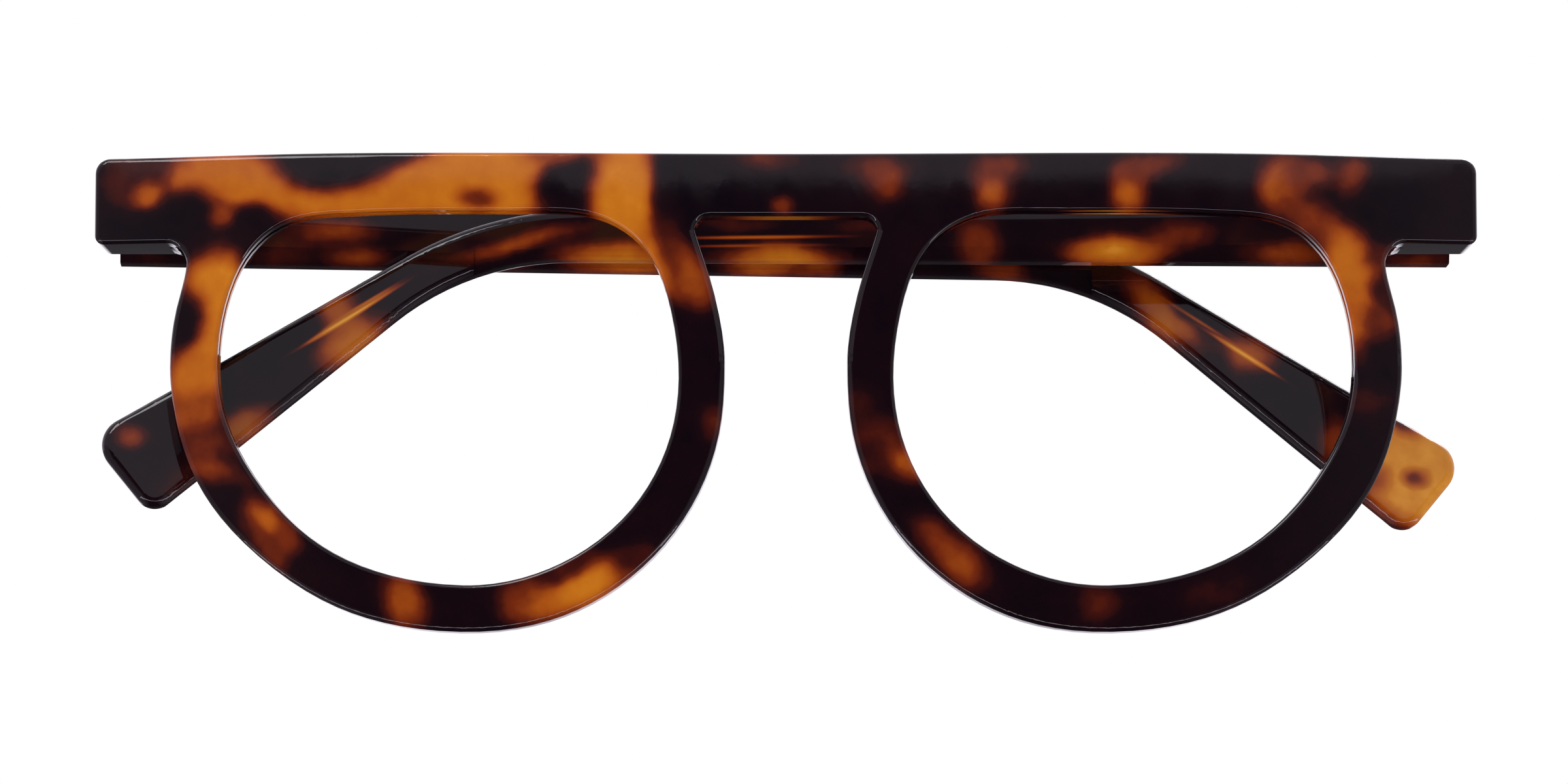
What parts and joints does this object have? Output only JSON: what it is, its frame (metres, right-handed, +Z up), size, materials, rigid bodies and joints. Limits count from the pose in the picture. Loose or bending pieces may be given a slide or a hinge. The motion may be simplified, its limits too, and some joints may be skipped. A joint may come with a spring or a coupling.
{
  "type": "eyeglasses frame",
  "caption": "Full-rim tortoise acetate eyeglasses frame with a flat brow, round openings, a keyhole bridge and hinged temples, folded.",
  "frame": {"origin": "middle of the bridge's back surface, at half the height of the front, where the nose carries the frame", "axes": "+X towards the wearer's left along the front, +Y back towards the wearer's face, +Z up"},
  "size_m": [0.1406, 0.03, 0.0486],
  "materials": {
    "tortoise_acetate": "polished mottled acetate, amber to near black",
    "pad_acetate": "polished acetate, amber",
    "hinge_metal": "polished nickel silver",
    "screw_steel": "turned steel",
    "core_metal": "drawn nickel silver wire"
  },
  "bodies": {
    "front": {"front": "tortoise_acetate", "nose_pad_left": "pad_acetate", "front_hinge_leaf_left": "hinge_metal", "hinge_screw_left": "screw_steel", "nose_pad_right": "pad_acetate", "front_hinge_leaf_right": "hinge_metal", "hinge_screw_right": "screw_steel"},
    "temple_left": {"temple_left": "tortoise_acetate", "temple_hinge_leaf_left": "hinge_metal", "core_wire_left": "core_metal"},
    "temple_right": {"temple_right": "tortoise_acetate", "temple_hinge_leaf_right": "hinge_metal", "core_wire_right": "core_metal"}
  },
  "joints": [
    {"name": "right_temple_hinge", "type": "hinge", "parent": "front", "child": "temple_right", "pos_m": [-0.0647, 0.01568, 0.0194], "axis": [0, 0.0872, 0.9962], "range_deg": [0, 87]},
    {"name": "left_temple_hinge", "type": "hinge", "parent": "front", "child": "temple_left", "pos_m": [0.0647, 0.01568, 0.0194], "axis": [0, -0.0872, -0.9962], "range_deg": [0, 93]}
  ],
  "couplings": [
    {"joint": "left_temple_hinge", "follows": "right_temple_hinge", "ratio": 0.3}
  ]
}
